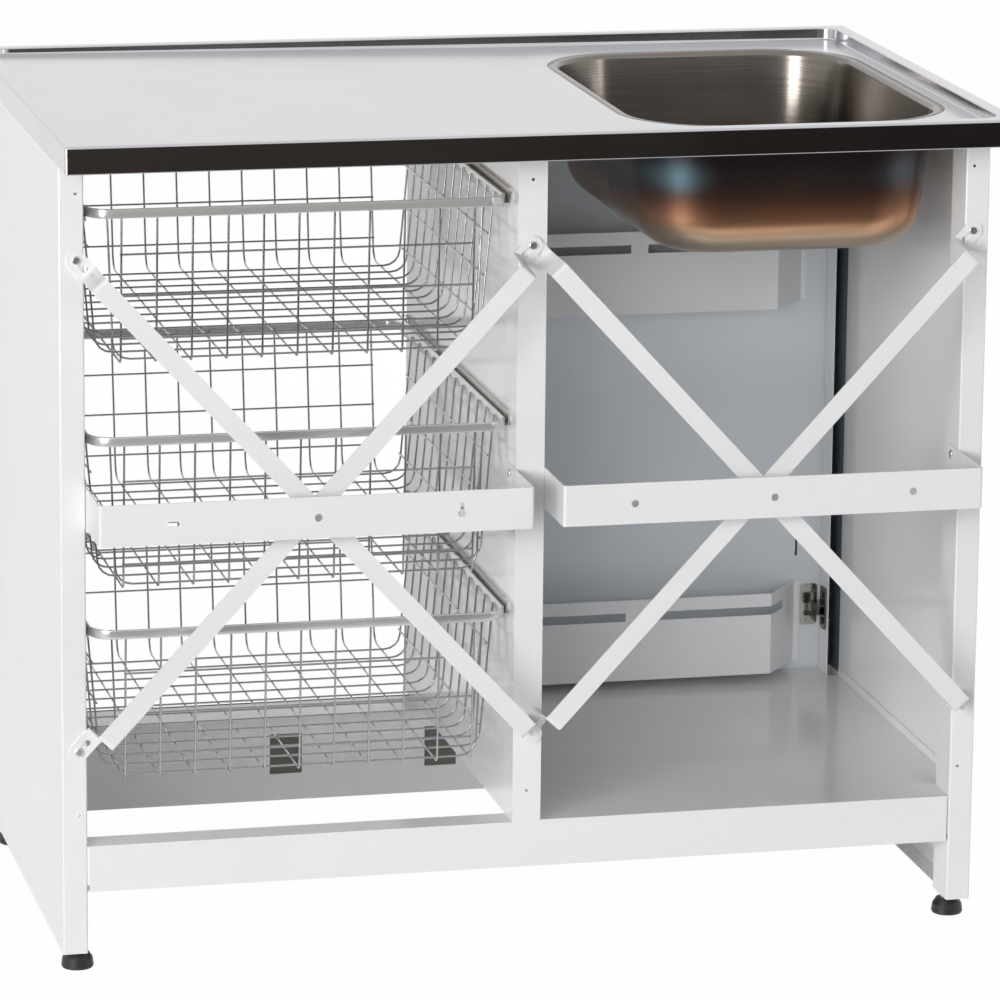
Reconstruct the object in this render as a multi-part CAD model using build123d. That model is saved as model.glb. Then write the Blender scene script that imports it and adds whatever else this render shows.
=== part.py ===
from build123d import *
import os

# Kitchen sink unit: a folded-steel base cabinet under a pressed stainless top.
# Frame: origin on the floor under the middle of the unit, +Z up, +X to the right
# seen from the door side, the door side at -Y and the wall side at +Y.
# All sizes in millimetres.

os.makedirs("parts", exist_ok=True)

# How far a cutting body runs past the face it opens, and past one it only meets
CUT = 10
SLACK = 1

# Play left between two sheets that meet
FIT_GAP = 0.2

# Worktop
WIDTH = 1000
DEPTH = 656
HEIGHT = 888
FLANGE_HEIGHT = 27.4
TOP_SHEET = 1.0
RIM_WIDTH = 16
RIM_BEND = 2.5
RIM_CORNER = 20
LIP_WIDTH = 11
DECK_HIGH = 881.6
DECK_LOW = 875.4
DRAINER_END_X = -100
BOARD_THICKNESS = 11
BOARD_GAP = 3

# Places along the depth, measured from the wall edge of the worktop
WALL_Y = 338
SERVICE_GAP = 86
REAR_Y = WALL_Y - SERVICE_GAP
FRONT_Y = REAR_Y - 542

# Bowl
BOWL_X = -290
BOWL_Y = 6
BOWL_WIDTH = 330
BOWL_LENGTH = 474
BOWL_CORNER = 90
BOWL_DEPTH = 144
BOWL_TAPER = 6
BOWL_FOOT_RADIUS = 46
BOWL_LIP_RADIUS = 6
BOWL_FLANGE = 14
WASTE_RADIUS = 45
WASTE_SEAT_RADIUS = 56
WASTE_SEAT_DROP = 4
BOWL_SEAT_DROP = 0.4

# Cabinet shell
SHEET = 1.0
PANEL_X = 494
REAR_FLANGE = 26
REAR_RETURN = 48
FRONT_FLANGE = 16
FRONT_RETURN = 36
PANEL_BOTTOM = 20
PANEL_TOP = HEIGHT - FLANGE_HEIGHT
SHELL_BEND = 2
HEM_WIDTH = 20
HEM_GAP = 4
FOOT_PLATE = 2
FOOT_PLATE_REACH = 15
FOOT_PLATE_HALF = 22
BAY_OUTER_X = PANEL_X - REAR_FLANGE
PARTITION_HALF = 15.3
CARCASS_Z = 136

# Rails
RAIL_SHEET = 1.5
REAR_RAIL_BOTTOM = 86.5
REAR_RAIL_FLANGE = 34
REAR_RAIL_FOOT = 20
RAIL_NOTCH = 4
RAIL_GAP = 2
PLINTH_Y = -262
PLINTH_SHELF = 59
PLINTH_WINDOW = (37, 47)
PLINTH_WINDOW_X = (159, -21)
PLINTH_WINDOW_Z = 75.5
PLINTH_BOTTOM = 21
PLINTH_BOARD = 16
PLINTH_BOARD_GAP = 1
PLINTH_BOARD_DROP = 3
TOP_RAIL_HEIGHT = 30
TOP_RAIL_DEPTH = 28

# Wall crossbars
BAR_SHEET = 1.5
BAR_BOTTOM = 476
BAR_HEIGHT = 43.5
BAR_ARM = 115
BAR_HOLE_Z = 497.5
BAR_HOLE_PITCH = 150
BAR_HOLE_RADIUS = 4
BAR_SLOT = (13, 5)
KEY_DROP = 2
KEY_NECK = (4, 10)
BAR_BEND = 3
BAR_SCREW_INSET = 10
BAR_SCREW_MARGIN = 9

# Diagonal braces
BRACE_WIDTH = 20
BRACE_SHEET = 1.5
BRACE_BEND = 3
BRACE_HIGH_Z = 756.5
BRACE_LOW_Z = 238.5
POST_HOLE_X = 476.5
INNER_LEVEL = 50
OUTER_LEVEL = 52
RAMP_RUN = 4
TAB_LENGTH = 20
LONG_TAB = 26
TAB_REACH = (8, 4)
KEY_SLOT_RADIUS = 2.3
KEY_HOLE_RADIUS = 3.4
KEY_LENGTH = 13

# Screws
SCREW_RADIUS = 2.0
SCREW_HOLE = 2.05
HEAD_RADIUS = 4.6
HEAD_HEIGHT = 2.4
HEAD_ROUNDING = 1.44
CROSS_RECESS = (4.4, 1.1, 2)
POST_SCREW_LENGTH = 12
SPARE_HOLE_RADIUS = 1.6
SPARE_HOLE_Z = (170, 825)

# Baskets
BAY_CENTRE_X = (BAY_OUTER_X + PARTITION_HALF) / 2
BASKET_WIDTH = 442
BASKET_DEPTH = 540
RIM_HEIGHT = 10
RIM_THICKNESS = 3
BASKET_CORNER = 28
LEVELS = ("top", "middle", "bottom")
RUNNER_Z = (803.7, 568, 365)
RIM_BELOW_SCREW = 3.7
BASKET_CLOSED_Y = REAR_Y
BASKET_PULLED = (14, 4, 0)
WIRE = 2.4
WELD_GAP = 0.25
WIRE_PITCH = 36.9
LONG_WIRES = 11
FLOOR_DROP = 158
NEAR_LEAN = 10
FAR_LEAN = 24
SIDE_LEAN = 14
FLOOR_BEND = 18
NEAR_BEND = 6
HOOP_DROPS = (44, 88, 133)
CORNER_LEG_INSET = 20
CORNER_LEG_LEAN = 6
SIDE_WELD_GAP = 1.5

# Runners
RUNNER_SHEET = 1.0
RUNNER_TOP = 7
LEDGE_WIDTH = 7.5
LEDGE_SKIRT = 5
TOP_FOLD = 3.5
RUNNER_INSET = 4
TAB_RADIUS = 6.5
SMALL_HEAD = (4, 1.6)
REAR_SCREW_Y = WALL_Y - 115
FRONT_SCREW_Y = FRONT_Y + 18

# Floor tray
TRAY_SHEET = 1.0
TRAY_UPSTAND = 10
TRAY_GAP = 2
TRAY_SIDE_GAP = 0.5

# Door
DOOR_LEFT_X = -494
DOOR_RIGHT_X = 10
DOOR_BOTTOM = 130
DOOR_TOP = 855
DOOR_THICKNESS = 19
DOOR_GAP = 1
DOOR_SHEET = 1.0
DOOR_BEND = 2
DOOR_CENTRE_X = (DOOR_LEFT_X + DOOR_RIGHT_X) / 2
BIN_TOP_Z = (671, 242)
BIN_HEIGHT = 95
BIN_FACE_HALF = 163
BIN_BACK_HALF = 206
BIN_DEPTH = 54
BIN_FLANGE = 8
BIN_SLOT_DROP = 15
BIN_SLOT_HEIGHT = 10
BIN_BRIDGE = 20
BIN_PLAY = 0.1
BIN_FLANGE_LAP = 2.5
BIN_SLOT_INSET = 22
BIN_SLOT_START = 15
HANG_SLOT = (2.5, 23)
HANG_SLOT_X = 207
HANG_SLOT_Z = 283.5
HANDLE_X = -22
HANDLE_CENTRES = 160
HANDLE_TOP_Z = 800
HANDLE_RADIUS = 5
HANDLE_STANDOFF = 23
HANDLE_BEND = 12

# Hinges
HINGE_Z = (213.5, 779.5)
CUP_PLATE = (20, 49)
CUP_X = -465
CUP_FLANGE = 1.4
CUP_WIDTH = 14
CUP_HEIGHT = 30
CUP_DEPTH = 11
CUP_CORNER = 3
CUP_SCREW_PITCH = 40
CUP_HEAD = (3.6, 1.2)
PLATE_CORNER = 4
PLATE_HEIGHT = 50
PLATE_WIDTH = 20
PLATE_THICKNESS = 2
PLATE_INSET = 6
ARM_WIDTH = 12
ARM_HEIGHT = 9
ARM_SHEET = 1.2
ARM_NOSE = 3
ARM_TAIL = 2
ARM_BRIDGE = 5
ARM_CORNER = 2
HINGE_SCREW_PITCH = 32
HINGE_HEAD = (4, 1.8)
HINGE_RECESS = (4, 1, 1.6)

# Feet
FOOT_X = 476
FOOT_Y = (230, -227)
FOOT_RADIUS = 17
FOOT_HEIGHT = 16
FOOT_EDGE = 1
FOOT_SHOULDER = 10
FOOT_TOP_RADIUS = 12
STUD_RADIUS = 4
STUD_CLEARANCE = 0.1
STUD_TOP = 58
HEXAGON_RADIUS = 7.5
HEXAGON_HEIGHT = 3


def write(shape, name):
    """One file for each separate piece."""
    export_step(shape, f"parts/{name}.step")


def block(x0, x1, y0, y1, z0, z1):
    """A plain box between two corners."""
    centre = ((x0 + x1) / 2, (y0 + y1) / 2, (z0 + z1) / 2)
    return Pos(*centre) * Box(abs(x1 - x0), abs(y1 - y0), abs(z1 - z0))


def rod(centre, radius, length, axis="Z"):
    """A round bar or hole along one axis, centred on a point."""
    turn = {"Z": (0, 0, 0), "Y": (90, 0, 0), "X": (0, 90, 0)}[axis]
    return Pos(*centre) * Rot(*turn) * Cylinder(radius, length)


def folded(points, thickness, bend):
    """The section of a sheet folded along a line of points."""
    line = FilletPolyline(*points, radius=bend)
    return make_face(offset(line, amount=thickness, side=Side.RIGHT).edges())


def standing(section, bottom, top):
    """A section drawn on the floor plan, drawn up from bottom to top."""
    return Pos(0, 0, bottom) * extrude(section, amount=top - bottom)


def outline(points):
    """A flat face with straight sides."""
    return make_face(Polyline(*points, close=True).edges())


def screw(point, direction, length):
    """A pan-head screw: the head's seat at a point, the shank behind it."""
    head = extrude(Circle(HEAD_RADIUS), HEAD_HEIGHT)
    head = fillet(head.edges().sort_by(Axis.Z)[-1], HEAD_ROUNDING)
    shank = extrude(Circle(SCREW_RADIUS), -length)
    long, narrow, deep = CROSS_RECESS
    cross = Box(long, narrow, deep) + Box(narrow, long, deep)
    solid = head + shank - Pos(0, 0, HEAD_HEIGHT) * cross
    return Plane(origin=point, z_dir=direction) * solid


# ---------------------------------------------------------------- worktop

def pocket(margin, drop):
    """The sunk deck: flat round the bowl, rising to the far end of the drainer."""
    half_x = WIDTH / 2 - RIM_WIDTH + margin
    half_y = DEPTH / 2 - RIM_WIDTH + margin
    top = HEIGHT + CUT
    side = outline([
        (half_x, top), (half_x, DECK_HIGH - drop), (DRAINER_END_X, DECK_LOW - drop),
        (-half_x, DECK_LOW - drop), (-half_x, top)])
    slab = extrude(Plane.XZ * side, amount=DEPTH, both=True)
    plan = RectangleRounded(2 * half_x, 2 * half_y, RIM_CORNER + margin)
    return slab & Pos(0, WALL_Y - DEPTH / 2, HEIGHT / 2) * extrude(plan, amount=HEIGHT)


def bowl_cutout():
    """The opening in the deck that the bowl's flange drops into."""
    plan = RectangleRounded(BOWL_WIDTH + 2 * BOWL_FLANGE, BOWL_LENGTH + 2 * BOWL_FLANGE,
                            BOWL_CORNER + BOWL_FLANGE)
    return Pos(BOWL_X, BOWL_Y, HEIGHT) * extrude(plan, amount=BOWL_DEPTH, both=True)


def pocket_rim(shape, level):
    """The edges round the sunk deck where it breaks through the rim's top face."""
    near = TOP_SHEET / 2
    rim = shape.faces().filter_by(Axis.Z).filter_by_position(Axis.Z, level - near, level + near)
    return rim[0].inner_wires()[0].edges()


def make_worktop():
    """One stainless sheet: raised rim, sunk deck, deep flange with a returned lip."""
    centre_y = WALL_Y - DEPTH / 2
    top = HEIGHT - FLANGE_HEIGHT
    outer = block(-WIDTH / 2, WIDTH / 2, centre_y - DEPTH / 2, centre_y + DEPTH / 2, top, HEIGHT)
    outer = fillet(outer.edges().group_by(Axis.Z)[-1] + outer.edges().filter_by(Axis.Z), RIM_BEND)
    t = TOP_SHEET
    inner = block(-WIDTH / 2 + t, WIDTH / 2 - t, centre_y - DEPTH / 2 + t,
                  centre_y + DEPTH / 2 - t, top + t, HEIGHT - t)
    inner = fillet(inner.edges().group_by(Axis.Z)[-1] + inner.edges().filter_by(Axis.Z),
                   RIM_BEND - t)
    lip = block(-WIDTH / 2 + LIP_WIDTH, WIDTH / 2 - LIP_WIDTH, centre_y - DEPTH / 2 + LIP_WIDTH,
                centre_y + DEPTH / 2 - LIP_WIDTH, top - CUT, top + t + SLACK)
    tray = outer - pocket(0, 0)
    tray = fillet(pocket_rim(tray, HEIGHT), RIM_BEND)
    core = inner - pocket(t, t)
    core = fillet(pocket_rim(core, HEIGHT - t), RIM_BEND - t)
    return tray - core - (lip - pocket(t, t)) - bowl_cutout()


def make_deck_board():
    """The moisture-proof board that stiffens the sheet, held by the returned lip."""
    bottom = HEIGHT - FLANGE_HEIGHT + TOP_SHEET
    board = block(-WIDTH / 2 + BOARD_GAP, WIDTH / 2 - BOARD_GAP, WALL_Y - DEPTH + BOARD_GAP,
                  WALL_Y - BOARD_GAP, bottom, bottom + BOARD_THICKNESS)
    return board - bowl_cutout()


def rolled_edge():
    """The quarter-round roll between the flange and the wall, drawn round the mouth."""
    radius = BOWL_LIP_RADIUS + TOP_SHEET
    mouth = RectangleRounded(BOWL_WIDTH, BOWL_LENGTH, BOWL_CORNER).wire()
    along = mouth % 0
    start = Plane(origin=mouth @ 0, x_dir=along.cross(Vector(0, 0, 1)), z_dir=along)
    ring = Pos(radius, radius) * (Circle(radius) - Circle(BOWL_LIP_RADIUS))
    quarter = ring & (Pos(radius / 2, radius / 2) * Rectangle(radius, radius))
    return sweep(start * quarter, path=mouth, transition=Transition.RIGHT)


def make_bowl():
    """The pressed bowl: flange, rolled edge, tapering walls, round foot, waste seat."""
    level = DECK_LOW - BOWL_SEAT_DROP
    t = TOP_SHEET
    roll = BOWL_LIP_RADIUS + t
    wide, long, corner = BOWL_WIDTH, BOWL_LENGTH, BOWL_CORNER
    flange = RectangleRounded(wide + 2 * BOWL_FLANGE, long + 2 * BOWL_FLANGE,
                              corner + BOWL_FLANGE)
    flange -= RectangleRounded(wide + 2 * roll, long + 2 * roll, corner + roll)
    body = extrude(RectangleRounded(wide + 2 * t, long + 2 * t, corner + t),
                   amount=-BOWL_DEPTH + roll, taper=BOWL_TAPER)
    body = fillet(body.edges().group_by(Axis.Z)[0], BOWL_FOOT_RADIUS)
    void = extrude(RectangleRounded(wide, long, corner), amount=-BOWL_DEPTH + roll + t,
                   taper=BOWL_TAPER)
    void = fillet(void.edges().group_by(Axis.Z)[0], BOWL_FOOT_RADIUS - t)
    seat = Pos(0, 0, -WASTE_SEAT_DROP / 2) * Cylinder(WASTE_SEAT_RADIUS + t, WASTE_SEAT_DROP)
    dish = Pos(0, 0, t) * Cylinder(WASTE_SEAT_RADIUS, 2 * WASTE_SEAT_DROP)
    walls = Pos(0, 0, -roll) * (body - void)
    foot = Pos(0, 0, -BOWL_DEPTH)
    walls = walls + foot * seat - foot * dish - foot * Cylinder(WASTE_RADIUS, 3 * CUT)
    shape = walls + rolled_edge() + extrude(flange, amount=-t)
    return Pos(BOWL_X, BOWL_Y, level) * shape


# ---------------------------------------------------------------- cabinet shell

def post_holes(x):
    """Screw and spare holes down the rear face of a post."""
    holes = rod((x, REAR_Y, BRACE_HIGH_Z), SCREW_HOLE, CUT, "Y")
    holes += rod((x, REAR_Y, BRACE_LOW_Z), SCREW_HOLE, CUT, "Y")
    for z in SPARE_HOLE_Z:
        holes += rod((x, REAR_Y, z), SPARE_HOLE_RADIUS, CUT, "Y")
    return holes


def make_side_panel():
    """One folded sheet: skin, rear post with its return, front channel, foot plates."""
    section = folded([
        (BAY_OUTER_X, REAR_Y - REAR_RETURN), (BAY_OUTER_X, REAR_Y), (PANEL_X, REAR_Y),
        (PANEL_X, FRONT_Y), (PANEL_X - FRONT_FLANGE, FRONT_Y),
        (PANEL_X - FRONT_FLANGE, FRONT_Y + FRONT_RETURN)], SHEET, SHELL_BEND)
    panel = standing(section, PANEL_BOTTOM, PANEL_TOP)
    inside = PANEL_X - SHEET / 2
    hem = block(PANEL_X - HEM_WIDTH, inside, FRONT_Y + FRONT_RETURN + HEM_GAP,
                REAR_Y - REAR_RETURN - HEM_GAP, PANEL_BOTTOM, PANEL_BOTTOM + SHEET)
    rear_plate = block(BAY_OUTER_X + SHEET / 2, inside, REAR_Y - REAR_RETURN - HEM_GAP,
                       REAR_Y - SHEET / 2, PANEL_BOTTOM, PANEL_BOTTOM + FOOT_PLATE)
    front_plate = block(FOOT_X - FOOT_PLATE_REACH, inside, FOOT_Y[1] - FOOT_PLATE_HALF,
                        FOOT_Y[1] + FOOT_PLATE_HALF, PANEL_BOTTOM, PANEL_BOTTOM + FOOT_PLATE)
    panel = panel + hem + rear_plate + front_plate
    for y in FOOT_Y:
        panel -= rod((FOOT_X, y, PANEL_BOTTOM), STUD_RADIUS + STUD_CLEARANCE, CUT)
    return panel - post_holes(POST_HOLE_X)


def make_partition():
    """The centre post and divider: a flat closed box of sheet, open at its ends."""
    depth = REAR_Y - FRONT_Y
    outer = Rectangle(2 * PARTITION_HALF, depth)
    inner = Rectangle(2 * PARTITION_HALF - 2 * SHEET, depth - 2 * SHEET)
    wall = Pos(0, (REAR_Y + FRONT_Y) / 2) * (outer - inner)
    return standing(wall, CARCASS_Z, PANEL_TOP + TOP_SHEET) - post_holes(0)


def make_rear_rail():
    """The lower rail under the centre post: face, top shelf and bottom flange."""
    reach = BAY_OUTER_X - RAIL_GAP
    t = RAIL_SHEET
    rail = block(-reach, reach, REAR_Y - t, REAR_Y, REAR_RAIL_BOTTOM, CARCASS_Z)
    rail += block(-BAY_OUTER_X, BAY_OUTER_X, REAR_Y - REAR_RAIL_FLANGE, REAR_Y - RAIL_NOTCH,
                  CARCASS_Z - t, CARCASS_Z)
    rail += block(-reach, reach, REAR_Y - RAIL_NOTCH, REAR_Y, CARCASS_Z - t, CARCASS_Z)
    rail += block(-BAY_OUTER_X, BAY_OUTER_X, REAR_Y - REAR_RAIL_FOOT, REAR_Y - RAIL_NOTCH,
                  REAR_RAIL_BOTTOM, REAR_RAIL_BOTTOM + t)
    rail += block(-reach, reach, REAR_Y - RAIL_NOTCH, REAR_Y, REAR_RAIL_BOTTOM,
                  REAR_RAIL_BOTTOM + t)
    return rail


def make_front_plinth():
    """The L-shaped front sill: an upright with two windows and a shelf on top."""
    reach = PANEL_X - FRONT_FLANGE
    t = RAIL_SHEET
    sill = block(-reach, reach, PLINTH_Y, PLINTH_Y + t, PLINTH_BOTTOM, CARCASS_Z)
    sill += block(-reach, reach, PLINTH_Y, PLINTH_Y + PLINTH_SHELF, CARCASS_Z - t, CARCASS_Z)
    width, height = PLINTH_WINDOW
    for x in PLINTH_WINDOW_X:
        sill -= Pos(x, PLINTH_Y, PLINTH_WINDOW_Z) * Box(width, CUT, height)
    return sill


def make_plinth_board():
    """The fibreboard behind the sill, seen through its windows."""
    reach = PANEL_X - FRONT_FLANGE - PLINTH_BOARD_GAP
    return block(-reach, reach, PLINTH_Y - PLINTH_BOARD, PLINTH_Y, PLINTH_BOTTOM,
                 CARCASS_Z - PLINTH_BOARD_DROP)


def make_floor_tray():
    """The shelf of the bowl bay, notched round the rear post, with an upstand."""
    t = TRAY_SHEET
    inner = -PARTITION_HALF - FIT_GAP
    outer = -PANEL_X + SHEET + TRAY_SIDE_GAP
    narrow = -BAY_OUTER_X + FIT_GAP
    front_narrow = -PANEL_X + FRONT_FLANGE + FIT_GAP
    notch_y = REAR_Y - REAR_RETURN - TRAY_GAP
    channel_y = FRONT_Y + FRONT_RETURN + TRAY_GAP
    plan = outline([
        (inner, REAR_Y), (narrow, REAR_Y), (narrow, notch_y), (outer, notch_y),
        (outer, channel_y), (front_narrow, channel_y), (front_narrow, FRONT_Y + TRAY_GAP),
        (inner, FRONT_Y + TRAY_GAP)])
    tray = standing(plan, CARCASS_Z, CARCASS_Z + t)
    tray += block(outer, outer + t, channel_y, notch_y, CARCASS_Z, CARCASS_Z + TRAY_UPSTAND)
    tray += block(inner - t, inner, channel_y, notch_y, CARCASS_Z, CARCASS_Z + TRAY_UPSTAND)
    return tray


def make_top_rail(x0, x1):
    """A front rail between two uprights, under the worktop: an angle of sheet."""
    t = RAIL_SHEET
    y = FRONT_Y + SHEET
    rail = block(x0, x1, y, y + t, PANEL_TOP - TOP_RAIL_HEIGHT, PANEL_TOP)
    return rail + block(x0, x1, y, y + TOP_RAIL_DEPTH, PANEL_TOP - t, PANEL_TOP)


# ---------------------------------------------------------------- wall side

def bar_screw_levels():
    """The heights of the two screws in each arm of a crossbar."""
    return BAR_BOTTOM + BAR_SCREW_MARGIN, BAR_BOTTOM + BAR_HEIGHT - BAR_SCREW_MARGIN


def make_crossbar(side):
    """A flat strip bent to a wide U: its face meets the wall, its arms the posts."""
    t = BAR_SHEET
    low = min(side * PARTITION_HALF, side * BAY_OUTER_X) + FIT_GAP
    high = max(side * PARTITION_HALF, side * BAY_OUTER_X) - FIT_GAP
    section = folded([(low, WALL_Y - BAR_ARM), (low, WALL_Y), (high, WALL_Y),
                      (high, WALL_Y - BAR_ARM)], t, BAR_BEND)
    bar = standing(section, BAR_BOTTOM, BAR_BOTTOM + BAR_HEIGHT)
    centre = side * BAY_CENTRE_X
    bar -= rod((centre, WALL_Y, BAR_HOLE_Z), BAR_HOLE_RADIUS, CUT, "Y")
    if side < 0:
        for offset_x in (-BAR_HOLE_PITCH, BAR_HOLE_PITCH):
            bar -= rod((centre + offset_x, WALL_Y, BAR_HOLE_Z), BAR_HOLE_RADIUS, CUT, "Y")
    else:
        slot = extrude(Plane.XZ * SlotOverall(*BAR_SLOT), CUT, both=True)
        bar -= Pos(centre + BAR_HOLE_PITCH, WALL_Y, BAR_HOLE_Z) * slot
        key_x, key_z = centre - BAR_HOLE_PITCH, BAR_HOLE_Z - KEY_DROP
        neck, neck_length = KEY_NECK
        bar -= rod((key_x, WALL_Y, key_z), BAR_HOLE_RADIUS, CUT, "Y")
        bar -= Pos(key_x, WALL_Y, key_z + BAR_HOLE_RADIUS + KEY_DROP) * Box(
            neck, CUT, neck_length)
    for z in bar_screw_levels():
        bar -= rod((centre, WALL_Y - BAR_ARM + BAR_SCREW_INSET, z), SCREW_HOLE, WIDTH / 2, "X")
    return bar


def brace_end(x, z, seat=0, tab=TAB_LENGTH, reach=0):
    """One end of a brace: its screw, its seat, and the tab round the screw."""
    return x, z, seat, tab, reach


def make_brace(start, end, body_level):
    """A flat bar with a keyhole tab at each end, stood off towards the wall between."""
    x0, z0, seat0, tab0, reach0 = start
    x1, z1, seat1, tab1, reach1 = end
    dx, dz = x1 - x0, z1 - z0
    length = (dx * dx + dz * dz) ** 0.5
    direction = Vector(dx, 0, dz).normalized()
    tip0, tip1 = -reach0, length + reach1
    crease0, crease1 = tip0 + tab0, tip1 - tab1
    line = FilletPolyline(
        (tip0 - BRACE_WIDTH, seat0), (crease0, seat0), (crease0 + RAMP_RUN, body_level),
        (crease1 - RAMP_RUN, body_level), (crease1, seat1), (tip1 + BRACE_WIDTH, seat1),
        radius=BRACE_BEND)
    strip = make_face(offset(line, amount=BRACE_SHEET, side=Side.LEFT).edges())
    frame = Plane(origin=(x0, REAR_Y, z0), x_dir=direction, z_dir=(0, 1, 0))
    profile = Plane(origin=(x0, REAR_Y, z0), x_dir=direction,
                    z_dir=direction.cross(Vector(0, 1, 0)))
    bar = extrude(profile * strip, amount=BRACE_WIDTH / 2, both=True)
    plan = Pos((tip0 + tip1) / 2, 0) * SlotOverall(tip1 - tip0 + BRACE_WIDTH, BRACE_WIDTH)
    bar = bar & extrude(frame * plan, amount=2 * OUTER_LEVEL, both=True)
    for tip, inward in ((tip0, 1), (tip1, -1)):
        keyhole = Pos(tip + inward * KEY_LENGTH / 2, 0) * SlotOverall(
            KEY_LENGTH + 2 * KEY_SLOT_RADIUS, 2 * KEY_SLOT_RADIUS)
        keyhole += Pos(tip + inward * KEY_LENGTH, 0) * Circle(KEY_HOLE_RADIUS)
        bar -= extrude(frame * keyhole, amount=3 * BRACE_SHEET, both=True)
    return bar


def brace_screw_group():
    """Six pan-head screws: one at each outer tab, one through each shared pair."""
    group = []
    for x, z, layers in (
            (POST_HOLE_X, BRACE_HIGH_Z, 1), (POST_HOLE_X, BRACE_LOW_Z, 1),
            (-POST_HOLE_X, BRACE_HIGH_Z, 1), (-POST_HOLE_X, BRACE_LOW_Z, 1),
            (0, BRACE_HIGH_Z, 2), (0, BRACE_LOW_Z, 2)):
        seat = REAR_Y + layers * BRACE_SHEET
        group.append(screw((x, seat, z), (0, 1, 0), POST_SCREW_LENGTH))
    return Compound(children=group)


def crossbar_screw_group():
    """Two screws through each arm of each crossbar, heads inside the bay."""
    group = []
    y = WALL_Y - BAR_ARM + BAR_SCREW_INSET
    for side in (1, -1):
        for x, facing in ((side * PARTITION_HALF, side), (side * BAY_OUTER_X, -side)):
            seat = x + facing * (BAR_SHEET + FIT_GAP)
            for z in bar_screw_levels():
                group.append(screw((seat, y, z), (facing, 0, 0), BAR_SHEET + FIT_GAP))
    return Compound(children=group)


# ---------------------------------------------------------------- baskets

def bent_wire(plane, points, bends):
    """A square-section stand-in for a round wire, bent along straight runs."""
    path = plane * FilletPolyline(*points, radius=bends)
    start = Plane(origin=path @ 0, z_dir=path % 0, x_dir=plane.z_dir)
    return sweep(start * Rectangle(WIRE, WIRE), path=path, transition=Transition.RIGHT)


def make_basket_rim(near_y, rim_z):
    """The flat band round the basket's mouth, bent round and butt-welded."""
    outer = RectangleRounded(BASKET_WIDTH, BASKET_DEPTH, BASKET_CORNER)
    inner = RectangleRounded(BASKET_WIDTH - 2 * RIM_THICKNESS, BASKET_DEPTH - 2 * RIM_THICKNESS,
                             BASKET_CORNER - RIM_THICKNESS)
    band = extrude(outer - inner, amount=RIM_HEIGHT / 2, both=True)
    return Pos(BAY_CENTRE_X, near_y - BASKET_DEPTH / 2, rim_z) * band


def wall_lines(near_y, rim_z):
    """Where the wires of the near and far walls stand: tops and feet along Y."""
    near_top = near_y - RIM_THICKNESS - WIRE / 2
    far_top = near_y - BASKET_DEPTH + RIM_THICKNESS + WIRE / 2
    floor_z = rim_z - FLOOR_DROP
    return near_top, near_top - NEAR_LEAN, far_top, far_top + FAR_LEAN, floor_z


def make_long_wires(near_y, rim_z):
    """Wires that run down the near wall, along the floor and up the far wall."""
    near_top, near_foot, far_top, far_foot, floor_z = wall_lines(near_y, rim_z)
    group = []
    for n in range(LONG_WIRES):
        x = BAY_CENTRE_X + (n - (LONG_WIRES - 1) / 2) * WIRE_PITCH
        points = [(near_top, rim_z), (near_foot, floor_z), (far_foot, floor_z),
                  (far_top, rim_z)]
        group.append(bent_wire(Plane.YZ.offset(x), points, [NEAR_BEND, FLOOR_BEND]))
    return Compound(children=group)


def make_cross_wires(near_y, rim_z):
    """Wires that run down one side wall, across the floor and up the other."""
    near_top, near_foot, far_top, far_foot, floor_z = wall_lines(near_y, rim_z)
    lift = floor_z + WIRE
    top_half = BASKET_WIDTH / 2 - RIM_THICKNESS - WIRE / 2
    foot_half = top_half - SIDE_LEAN
    count = int((near_foot - far_foot - 2 * FLOOR_BEND) / WIRE_PITCH) + 1
    group = []
    for n in range(count):
        y = near_foot - NEAR_BEND - WIRE - n * WIRE_PITCH
        half = top_half - (CORNER_LEG_INSET if n == 0 else 0)
        foot = min(foot_half, half - CORNER_LEG_LEAN)
        plane = Plane(origin=(BAY_CENTRE_X, y, 0), x_dir=(1, 0, 0), z_dir=(0, -1, 0))
        points = [(-half, rim_z), (-foot, lift), (foot, lift), (half, rim_z)]
        group.append(bent_wire(plane, points, [FLOOR_BEND, FLOOR_BEND]))
    return Compound(children=group)


def make_wall_wires(near_y, rim_z):
    """Straight level wires inside the four walls, three to a wall."""
    near_top, near_foot, far_top, far_foot, floor_z = wall_lines(near_y, rim_z)
    half_x = WIRE_PITCH * (LONG_WIRES - 1) / 2 + WIRE / 2
    top_half = BASKET_WIDTH / 2 - RIM_THICKNESS - WIRE / 2
    cross_count = int((near_foot - far_foot - 2 * FLOOR_BEND) / WIRE_PITCH) + 1
    first_y = near_foot - NEAR_BEND - WIRE
    last_y = first_y - (cross_count - 1) * WIRE_PITCH
    group = []
    for drop in HOOP_DROPS:
        z = rim_z - drop
        share = drop / FLOOR_DROP
        near = near_top - NEAR_LEAN * share - WIRE - WELD_GAP
        far = far_top + FAR_LEAN * share + WIRE + WELD_GAP
        side = top_half - SIDE_LEAN * share - WIRE - SIDE_WELD_GAP
        for y in (near, far):
            group.append(Pos(BAY_CENTRE_X, y, z) * Box(2 * half_x, WIRE, WIRE))
        for sign in (-1, 1):
            bar = Pos(BAY_CENTRE_X + sign * side, (first_y + last_y) / 2 - WIRE_PITCH / 2, z)
            group.append(bar * Box(WIRE, first_y - last_y - WIRE_PITCH + WIRE, WIRE))
    return Compound(children=group)


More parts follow.
